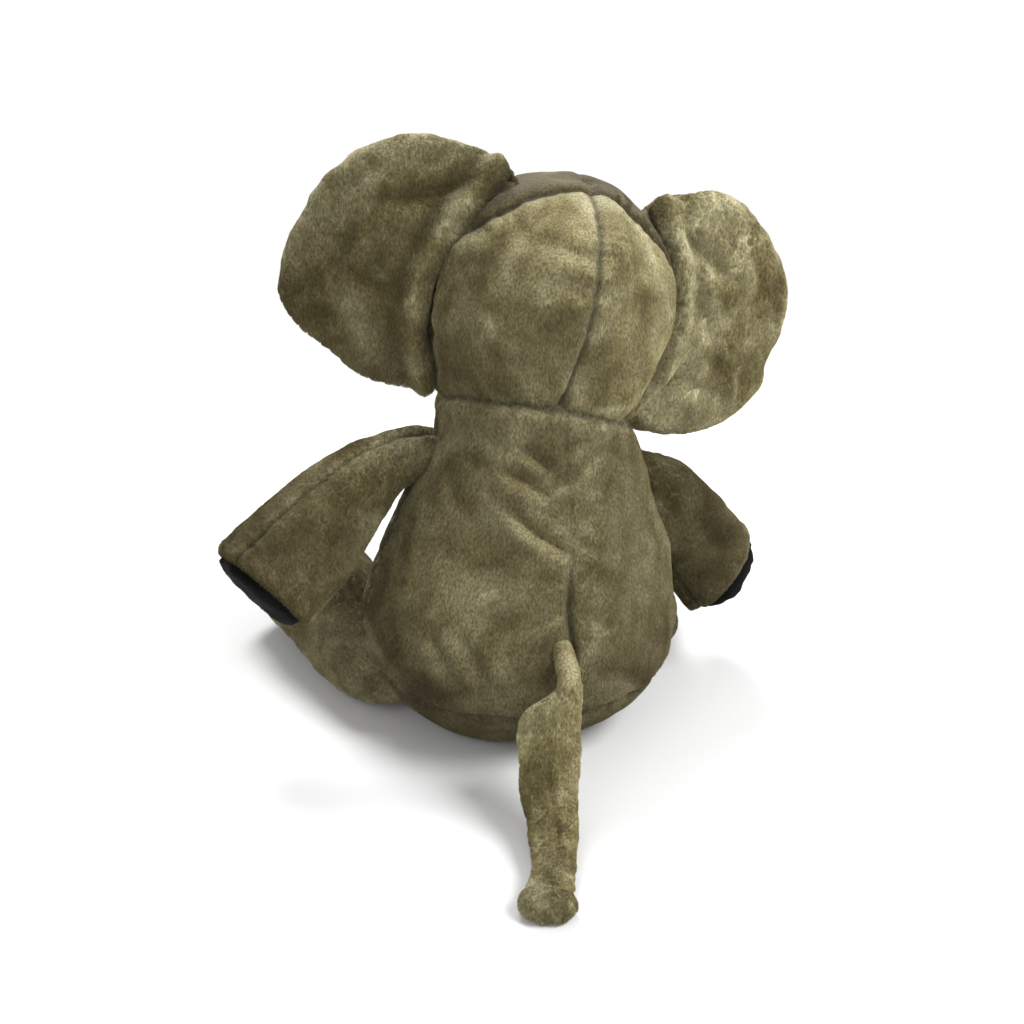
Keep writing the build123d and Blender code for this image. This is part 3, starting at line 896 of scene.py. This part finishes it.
def ear(side):
    seed, tone = EARS[side]["seed"], EARS[side]["nap_and_painted_light"]
    hinge, out, up, rear = ear_axes(side)
    made, outline = ear_form(side)
    p = coords(made)
    u, w = (p - hinge) @ out, (p - hinge) @ up
    behind = soft_step(normals(made) @ rear, -0.1, 0.4)
    total = 0.8 * ripples(p, 34, seed) + 0.25 * ripples(p, 16, seed + 1)
    # The gathered edge rolls up beside the head before the ear flattens out
    flat = np.stack([u, w, 0 * u], 1)
    root, _ = to_line(flat, [(a, b, 0) for a, b in EAR_ROOT])
    beyond = np.where(u > np.interp(-w, [-v[1] for v in EAR_ROOT], [v[0] for v in EAR_ROOT]), 1.0, 0.0)
    roll = -3.0 * bell(root, 2.0) + 2.8 * bell(root - 7.5, 3.4) * beyond
    roll -= 1.6 * bell(root - 15, 3.6) * beyond
    roll += 0.25 * ripples(p, 7.0, seed + 5) * bell(root, 7)
    total += roll * behind
    nap_and_painted_light = tone + (0.35 - tone) * bell(root - 7, 3) * 0.5
    # Painted shade where the ear meets the head and in the dip beyond its rolled edge
    nap_and_painted_light -= 0.8 * bell(root, 4.5) + 0.35 * bell(root - 14, 4) * beyond
    for line, depth, width in EAR_FOLDS:
        total += crease(flat, [(a, b, 0) for a, b in line], depth, width) * behind
    # The rim: both plies are sewn face to face and turned, so the seam sits on the edge
    rim, _ = to_line(flat, [(a, b, 0) for a, b in np.vstack([outline, outline[:1]])])
    total += 0.7 * bell(rim - 6, 3.0) * soft_step(u, -6, 4)
    total += 0.08 * ripples(p, 9.0, seed + 3) * bell(rim, 8)
    press(made, total)
    sewn = 0.9 * bell(root, 1.8) * behind
    return finish_cover(made, sewn, seed, comb=tuple(-0.6 * up - 0.6 * out), nap_and_painted_light=nap_and_painted_light)


# --- Trunk -----------------------------------------------------------------------------------


def rings_round(along, first, apart, count, deep, high, width):
    """Shallow rings pressed round a form; the lips lie a little off each ring."""
    total = 0
    for i in range(count):
        off = along - (first + apart * i)
        total += -deep * bell(off, width[0]) + high * bell(np.abs(off) - width[1], 1.6)
    return total


def trunk():
    root = np.array([-10.02, -69.54, 153.08])
    elbow = np.array([-6.79, -78.54, 117.53])
    down = unit(elbow - root)
    # The upper length, which sinks into the face
    stations = [
        (*from_head((0, -42, -12)), 15, 14),
        (*from_head((0, -50, -13)), 15.4, 14.6),
        (*from_head((0, -58, -16)), 15, 14.4),
        (*(root + 4 * down), 14.6, 14.4),
        (*(root + 15 * down), 13.6, 13.4),
        (*(elbow - 9 * down), 12.2, 12),
        (*elbow, 8, 8),
        (*(elbow + 3 * down), 1, 1),
    ]
    upper = swept("trunk", stations, (1.0, 0.0, 0.0))
    stuff(upper, 2.8, None, gain=0.8, cap=1.2, swell=0.04)
    p = coords(upper)
    total = 0.4 * ripples(p, 18, 301)
    total += rings_round((p - root) @ down, -1, 7.5, 4, 0.9, 0.35, (1.7, 3.4))
    press(upper, total)
    upper_piece = finish_cover(upper, np.zeros(len(p)), 301)

    tip = elbow + from_head((-6.0, -22.0, -28.0)) - HEAD
    ahead = unit(tip - elbow)
    stations = [
        (*(elbow - 9 * ahead), 3, 3),
        (*(elbow - 7 * ahead), 9.3, 9.3),
        (*elbow, 12, 12),
        (*(elbow + 12 * ahead), 11.4, 11.4),
        (*(elbow + 26 * ahead), 10.6, 10.6),
        (*tip, 10.2, 10.2),
        (*(tip + 5 * ahead), 8.6, 8.6),
        (*(tip + 8.4 * ahead), 1, 1),
    ]
    lower = swept("trunk_tip", stations, (1.0, 0.0, 0.0))
    stuff(lower, 2.6, None, gain=0.8, cap=1.0, swell=0.04)
    cut_plane(lower, tip + 1.0 * ahead, ahead)
    p = coords(lower)
    total = 0.35 * ripples(p, 14, 311)
    total += rings_round((p - elbow) @ ahead, 5, 8, 3, 0.8, 0.3, (1.6, 3.2))
    total += -1.1 * bell((p - tip) @ ahead - 1.0, 1.4)
    press(lower, total)
    snout = dark_patch(lower, "snout", lambda c: (c - tip) @ ahead > 1.0)
    sewn = bell((coords(lower) - tip) @ ahead - 1.0, 1.2)
    return upper_piece, finish_cover(lower, sewn, 311), snout


# --- Limbs -----------------------------------------------------------------------------------


def limb(name, stations, sole_at, facing, voxel, seam_normal, seed, folds, nap_and_painted_light):
    """A limb and its sole; stations are (x, y, z, half width, half height) up to the sole."""
    reach = unit(facing)
    sole_at = np.asarray(sole_at, float)
    radius = stations[-1][3]
    domed = ((-0.6, radius - 0.6), (1.4, radius - 2.6), (3.0, radius * 0.62), (3.9, radius * 0.3), (4.1, 1))
    ends = [(*(sole_at + ahead * reach), half, half) for ahead, half in domed]
    made = swept(name, stations + ends, seam_normal, steps=70)
    stuff(made, voxel, lambda p: (p - sole_at) @ reach > -3)
    edge = sole_at - 1.2 * reach
    cut_plane(made, edge, reach)
    centre_line = spline([s[:3] for s in stations] + [edge], 40)

    def off_seam(points):
        """Signed distance to the plane in which the limb's seam runs round it."""
        nearest = np.argmin(np.linalg.norm(points[:, None] - centre_line[None], axis=2), axis=1)
        return (points - centre_line[nearest]) @ seam_normal

    p = coords(made)
    total = 0.6 * ripples(p, 28, seed) + 0.35 * ripples(p, 12, seed + 1)
    amount, _ = seam(p, off_seam(p), seam_normal, seed + 2, depth=1.3, pucker=0.5)
    rim = (p - edge) @ reach
    total += amount * soft_step(-rim, 0, 1)
    total += -1.5 * bell(rim, 1.6) + 0.5 * ripples(p, 5.5, seed + 4) * bell(rim + 4, 4)
    total += 0.9 * bell(rim + 4.5, 2.6)
    for line, depth, width in folds:
        total += crease(p, line, depth, width)
    press(made, total)
    sole = dark_patch(made, name + "_sole", lambda c: (c - edge) @ reach > 0)
    smooth_shaded(sole)
    q = coords(made)
    dark = np.maximum(0.6 * bell(off_seam(q), 1.1), bell((q - edge) @ reach, 1.2))
    return finish_cover(made, dark, seed, comb=tuple(0.8 * reach), nap_and_painted_light=nap_and_painted_light(q)), sole


def left_arm():
    stations = [
        (24, -10, 109, 4, 4), (31, -10, 110.4, 8.5, 9.5), (40.5, -9.5, 110.4, 10.0, 10.8),
        (49.6, -7.5, 109.1, 11.0, 11.6), (60.7, -4, 104.0, 14.4, 14.4), (72.5, -1.5, 94.9, 18.4, 18.4),
        (86, 0.2, 82.5, 21, 21), (99, 1.5, 70.8, 21.4, 21.4),
    ]
    folds = [
        ([(44, 3, 116), (54, 5, 116), (66, 9, 110)], 1.9, 2.4),
        ([(48, 1, 115), (53, 5, 108), (56, 5, 99)], 2.0, 2.4),
        ([(60, 9, 112), (64, 13, 102), (66, 12, 90)], 1.0, 2.8),
        ([(72, 20, 92), (78, 21, 84), (86, 20, 80)], 0.7, 3.0),
    ]

    def nap_and_painted_light(p):
        pit = bell(distance(p, (46, 2, 104)), 10)
        # Darker all over; painted light towards the arm's top and painted shade in the armpit
        return -0.42 + 0.3 * soft_step(p[:, 2], 96, 116) - 0.45 * pit

    seam_normal = unit((0.263, -0.909, 0.328))
    facing = (0.75, 0.28, -0.60)
    return limb("arm_left", stations, (103.6, 2.4, 66.6), facing, 3.0, seam_normal, 401, folds, nap_and_painted_light)


def right_arm():
    stations = [
        (-30, 5, 97, 4, 4), (-36, 4.5, 97, 9, 9), (-45, 4, 93.5, 12.5, 13), (-53, 3, 87, 15.5, 16),
        (-62, 1, 77, 17.8, 18), (-72, -3, 64, 18.8, 19), (-81.5, -6.5, 51, 19.2, 19.4),
        (-89, -9.3, 41, 19.4, 19.4),
    ]
    folds = [
        ([(-46, 15, 102), (-46, 18, 94), (-44, 15, 84)], 2.0, 2.4),
        ([(-53, 17, 95), (-54, 20, 85), (-52, 18, 75)], 1.1, 2.6),
        ([(-66, 18, 80), (-74, 16, 72), (-80, 12, 66)], 0.9, 2.8),
    ]

    def nap_and_painted_light(p):
        return -0.72 + 0.4 * soft_step(-p[:, 0], 78, 98)

    seam_normal = unit((-0.45, 0.75, 0.40))
    facing = (-0.76, 0.29, -0.58)
    return limb("arm_right", stations, (-92.0, -10.2, 37.2), facing, 3.0, seam_normal, 421, folds, nap_and_painted_light)


def leg(side):
    """The left leg, side 1, or the right leg, side -1, which is its mirror image."""
    stations = [
        (44, 2, 16, 4, 4), (50, -4, 16.5, 12, 12), (56, -14, 18.5, 17, 16.5), (59, -28, 20.5, 19.5, 19),
        (62, -44, 22.8, 21.5, 21), (64.5, -60, 26.5, 23.2, 23.6), (68, -76, 27.0, 22.8, 23.0),
        (71.5, -89, 27.0, 22.0, 22.0),
    ]
    folds = [
        ([(74, -20, 34), (77, -24, 22), (74, -22, 8)], 1.4, 2.8),
        ([(62, 6, 28), (66, 0, 19.5), (66, -3, 9)], 3.6, 3.4),
        ([(80, -44, 38), (84, -50, 26), (80, -48, 12)], 1.1, 3.0),
        ([(60, -34, 42), (66, -46, 46), (74, -58, 48)], 1.0, 3.0),
    ]
    flip = np.array([side, 1, 1])
    stations = [(side * s[0], *s[1:]) for s in stations]
    folds = [([tuple(flip * v) for v in line], depth, width) for line, depth, width in folds]
    end = flip * (HIP + (-4.6, -1.0, -0.8) + 57.0 * LEG_AHEAD)
    pit = flip * np.array([66.0, -0.5, 19.0])
    name, seed = ("leg_left", 441) if side > 0 else ("leg_right", 461)

    def nap_and_painted_light(p):
        # Darker all over, with painted shade in the hollow where the leg meets the torso
        return -0.45 - 0.6 * bell(distance(p, pit), 11)

    seam_normal = flip * unit((0.93, 0.35, 0.0))
    return limb(name, stations, end, flip * LEG_AHEAD, 3.2, seam_normal, seed, folds, nap_and_painted_light)


# --- Tail ------------------------------------------------------------------------------------


def tail_root():
    """A narrow root folded out of the seam."""
    stations = [
        (2.8, 55, 58, 2, 2), (2.9, 59, 56.5, 3.4, 3.6), (3.0, 63.8, 52.7, 4.2, 4.2),
        (3.5, 68.0, 49.2, 4.5, 4.3), (4.2, 71.0, 45.6, 4.7, 4.3), (5.0, 73.6, 42.2, 3, 3),
    ]
    made = swept("tail_stub", stations, (1.0, 0.0, 0.0))
    stuff(made, 1.6, None, gain=0, refine=1, even=5)
    p = coords(made)
    press(made, 0.3 * ripples(p, 9, 501))
    return finish_cover(made, np.zeros(len(p)), 501, nap_and_painted_light=0.5 + 0 * p[:, 0])


def tail_strap():
    """The strap flares to one side as it leaves the root and droops to the table."""
    line = [
        (3.6, 68.5, 48.8, 4.0, 3.6), (4.2, 70.6, 46.2, 4.6, 4.0), (7.6, 72.0, 44.0, 8.0, 4.2),
        (11.9, 74.0, 41.0, 12.0, 4.2), (13.9, 76.5, 36.0, 12.7, 4.2), (15.1, 80.5, 29.4, 12.3, 4.2),
        (17.4, 88.0, 20.0, 11.7, 4.2), (19.9, 97.5, 12.0, 10.2, 4.0), (23.1, 109.0, 7.8, 9.0, 3.9),
        (26.8, 119.5, 6.2, 8.2, 3.8), (29.4, 125.0, 5.8, 8.3, 3.8), (32.6, 130.8, 5.2, 8.7, 3.8),
        (33.6, 133.2, 5.0, 6.5, 3),
    ]
    rows = spline(line, 90)
    rings = []
    for i, row in enumerate(rows):
        ahead = unit(rows[min(i + 2, 89)][:3] - rows[max(i - 2, 0)][:3])
        turn = np.interp(row[1], [75, 125], [0.05, 0.38])
        across = np.array([math.cos(turn), -math.sin(turn), 0.0])
        rings.append(ring(row[:3], across, unit(np.cross(across, ahead)), row[3], row[4], 2.4))
    strap = skin("tail_strap", rings)
    stuff(strap, 1.9, lambda p: p[:, 1] > 126, gain=0.35, cap=0.6, swell=0.03, even=8)

    p = coords(strap)
    spine = spline([s[:3] for s in line], 40)
    ahead = unit(np.array(line[-2][:3]) - line[2][:3])
    across = unit(np.cross(ahead, (0, 0, 1)))
    nearest = np.argmin(np.linalg.norm(p[:, None] - spine[None], axis=2), axis=1)
    from_middle = (p - spine[nearest]) @ across
    upper = soft_step(normals(strap)[:, 2], 0.0, 0.4)
    # The rolled ply edge shows as a line along the strap, with a dent beside it
    ridge = from_middle + 2.0 - 0.8 * np.sin(p[:, 1] / 11)
    lower_end = 1 - soft_step(p[:, 1], 112, 128)
    total = 0.5 * bell(ridge + 1.6, 1.8) * upper * lower_end
    total -= 0.55 * bell(ridge - 1.0, 1.2) * upper * lower_end
    total += 0.3 * ripples(p, 16, 511)
    press(strap, total)
    nap_and_painted_light = 0.75 + 0.25 * soft_step(-ridge, 0, 2)
    nap_and_painted_light -= 0.8 * soft_step(p[:, 1], 100, 122) * bell(ridge - 3, 6)
    return finish_cover(strap, np.zeros(len(p)), 511, comb=tuple(0.9 * ahead), nap_and_painted_light=nap_and_painted_light), ahead


def tail_tuft(ahead):
    stations = [
        (31.8, 129.4, 5.2, 4, 2), (32.6, 131.0, 5.2, 8.6, 4.0), (34.0, 134.2, 5.2, 9.6, 4.6),
        (35.4, 137.4, 5.0, 9.2, 4.4), (36.5, 139.8, 4.7, 6.8, 3.6), (37.0, 141.0, 4.4, 1, 1),
    ]
    made = swept("tail_tuft_cover", stations, (0.0, 0.0, 1.0), power=2.2)
    stuff(made, 1.6, None, gain=0, refine=1, even=3)
    p = coords(made)
    press(made, 0.5 * ripples(p, 6, 521))
    comb = tuple(0.7 * ahead)
    return finish_cover(made, np.zeros(len(p)), 521, comb=comb, length=2.0, nap_and_painted_light=0.1 + 0 * p[:, 0])


def stitches():
    """Bars of thread that close the back seam, sunk in its groove."""
    points, faces = [], []
    for i in range(8):
        z = 68.0 + 3.5 * i
        centre = on_torso(0, z, -3.4)
        t = np.linspace(-1, 1, 9)
        line = np.stack([centre[0] + 2.2 * t, centre[1] + 0.9 * (1 - t**2) - 0.6, centre[2] + 0.5 * t], 1)
        for j in range(8):
            base = len(points)
            for end in (line[j], line[j + 1]):
                for k in range(6):
                    a = k * math.pi / 3
                    points.append(end + (0, 0.4 * math.cos(a), 0.4 * math.sin(a)))
            faces += [(base + k, base + (k + 1) % 6, base + 6 + (k + 1) % 6, base + 6 + k) for k in range(6)]
            faces += [tuple(base + k for k in range(5, -1, -1)), tuple(base + 6 + k for k in range(6))]
    made = mesh_object("back_stitches", points, faces)
    made.data.materials.append(THREAD)
    return made


# --- Assembly --------------------------------------------------------------------------------


def attach_all():
    growing = []

    body = torso()
    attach(body[0], "torso")
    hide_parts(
        "back_left_panel", "back_right_panel", "belly_panel", "seat_panel", "torso_filling"
    )
    growing.append(body)
    closing = stitches()
    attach(closing, "torso")
    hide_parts("closing_stitches")

    skull = head()
    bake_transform(skull[0])
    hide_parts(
        "head_back_left_panel",
        "head_back_right_panel",
        "face_left_panel",
        "face_right_panel",
        "head_filling",
    )
    growing.append(skull)

    for side in (1, -1):
        name = EARS[side]["name"]
        made = ear(side)
        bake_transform(made[0])
        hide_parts(f"ear_{name}_back_ply", f"ear_{name}_batting", f"ear_{name}_front_ply")
        growing.append(made)

    upper, lower, snout = trunk()
    start, end = from_head((0, -44, -13)), from_head((0, -58, -16))
    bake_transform(upper[0])
    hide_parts("trunk_cover", "trunk_filling")
    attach(lower[0], "trunk_tip")
    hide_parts("trunk_tip_cover", "trunk_tip_filling")
    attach(snout, "trunk_tip")
    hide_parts("snout_patch")
    growing += [upper, lower]

    for name, made, start, end, halves in (
        ("arm_left", left_arm(), (33, -8, 114), (55, -5, 107), ("upper", "under")),
        ("arm_right", right_arm(), (-40, 4, 97), (-60, 3, 86), ("upper", "under")),
        ("leg_left", leg(1), (50, -22, 20), (62, -52, 24), ("outer", "inner")),
        ("leg_right", leg(-1), (-50, -22, 20), (-62, -52, 24), ("outer", "inner")),
    ):
        cover, sole = made
        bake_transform(cover[0])
        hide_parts(f"{name}_{halves[0]}_panel", f"{name}_{halves[1]}_panel", f"{name}_filling")
        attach(sole, name)
        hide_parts(f"{name}_sole")
        growing.append(cover)

    root = tail_root()
    strap, ahead = tail_strap()
    tuft = tail_tuft(ahead)
    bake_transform(root[0])
    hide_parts("tail_root")
    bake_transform(strap[0])
    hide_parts("tail_upper_ply", "tail_lower_ply", "tail_core")
    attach(tuft[0], "tail")
    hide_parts("tail_tuft")
    growing += [root, strap, tuft]

    for cover, seed, comb, length in growing:
        grow_pile(cover, seed, length, comb)


def finish_frame_nodes():
    """Materials for the CAD nodes that stay in view or inside."""
    looks = {
        "eye_left": glossy("eye_gloss", (0.004, 0.003, 0.003)),
        "eye_washer_left": glossy("washer_plastic", (0.55, 0.55, 0.52)),
        "pellet_pouch": woven("pouch_cloth", (0.55, 0.54, 0.50), (0.75, 0.74, 0.70), 900.0),
        "pellet_fill": woven("pellets", (0.50, 0.50, 0.48), (0.85, 0.85, 0.83), 420.0),
        "neck_filling": woven("wadding", (0.75, 0.75, 0.73), (0.92, 0.92, 0.90), 300.0),
    }
    looks["eye_right"] = looks["eye_left"]
    looks["eye_washer_right"] = looks["eye_washer_left"]
    for node, material in looks.items():
        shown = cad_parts[node]
        shown.data.materials.clear()
        shown.data.materials.append(material)
        shown.data.polygons.foreach_set("use_smooth", np.ones(len(shown.data.polygons), bool))


# --- Stage -----------------------------------------------------------------------------------


def aim_at(thing, where, target):
    thing.location = tuple(where)
    thing.rotation_euler = Vector(tuple(target - where)).to_track_quat("-Z", "Y").to_euler()


def white_floor():
    corners = [(6000 * x, 6000 * y, 0) for x, y in ((-1, -1), (1, -1), (1, 1), (-1, 1))]
    floor = mesh_object("floor", corners, [(0, 1, 2, 3)])
    material, tree, shader = nodes_of("floor_white")
    place = add_node(tree, "ShaderNodeTexCoord").outputs["Object"]
    tone = add_node(tree, "ShaderNodeTexNoise", {"Vector": place, "Scale": 3.0}).outputs["Fac"]
    tree.links.new(ramp(tree, tone, [(0, (0.86,) * 3), (1, (0.88,) * 3)]), shader.inputs["Base Color"])
    shader.inputs["Roughness"].default_value = 0.8
    shader.inputs["Specular IOR Level"].default_value = 0.0
    # Far from the toy the floor runs out into a lit white backdrop
    reach = add_node(tree, "ShaderNodeVectorMath", {0: place}, operation="LENGTH").outputs["Value"]
    span = {"Value": reach, "From Min": 0.22, "From Max": 0.60}
    far = add_node(tree, "ShaderNodeMapRange", span, interpolation_type="SMOOTHSTEP").outputs["Result"]
    lit = add_node(tree, "ShaderNodeEmission", {"Color": (1, 1, 1, 1), "Strength": 1.02}).outputs[0]
    blended = add_node(tree, "ShaderNodeMixShader", {0: far, 1: shader.outputs[0], 2: lit}).outputs[0]
    tree.links.new(blended, tree.nodes["Material Output"].inputs["Surface"])
    floor.data.materials.append(material)


def lights():
    scene = bpy.context.scene
    scene.view_settings.view_transform = "Standard"
    world = bpy.data.worlds.new("studio")
    world.use_nodes = True
    world.node_tree.nodes["Background"].inputs["Color"].default_value = (1, 1, 1, 1)
    world.node_tree.nodes["Background"].inputs["Strength"].default_value = 0.50
    scene.world = world

    for name, where, size, power in (
        ("key", (-0.75, 0.75, 1.15), 0.8, 21.0),
        ("fill", (0.9, 0.9, 0.8), 1.0, 4.0),
        ("top", (0.0, -0.65, 1.25), 0.7, 14.0),
    ):
        light = bpy.data.lights.new(name, "AREA")
        light.shape = "DISK"
        light.size = size
        light.energy = power
        lamp = bpy.data.objects.new(name, light)
        scene.collection.objects.link(lamp)
        aim_at(lamp, np.array(where), np.array([0, 0, 0.1]))


def camera():
    azimuth, elevation, away = math.radians(162), math.radians(25), 0.660
    target = np.array([0.0028, -0.0009, 0.084])
    level = math.cos(elevation)
    back = np.array([math.sin(azimuth) * level, -math.cos(azimuth) * level, math.sin(elevation)])
    lens = bpy.data.cameras.new("camera")
    lens.sensor_width = 36
    lens.lens = 1700 / 1024 * 36
    lens.clip_start = 0.01
    eye = bpy.data.objects.new("camera", lens)
    bpy.context.scene.collection.objects.link(eye)
    aim_at(eye, target + back * away, target)
    bpy.context.scene.camera = eye


attach_all()
finish_frame_nodes()
white_floor()
lights()
camera()
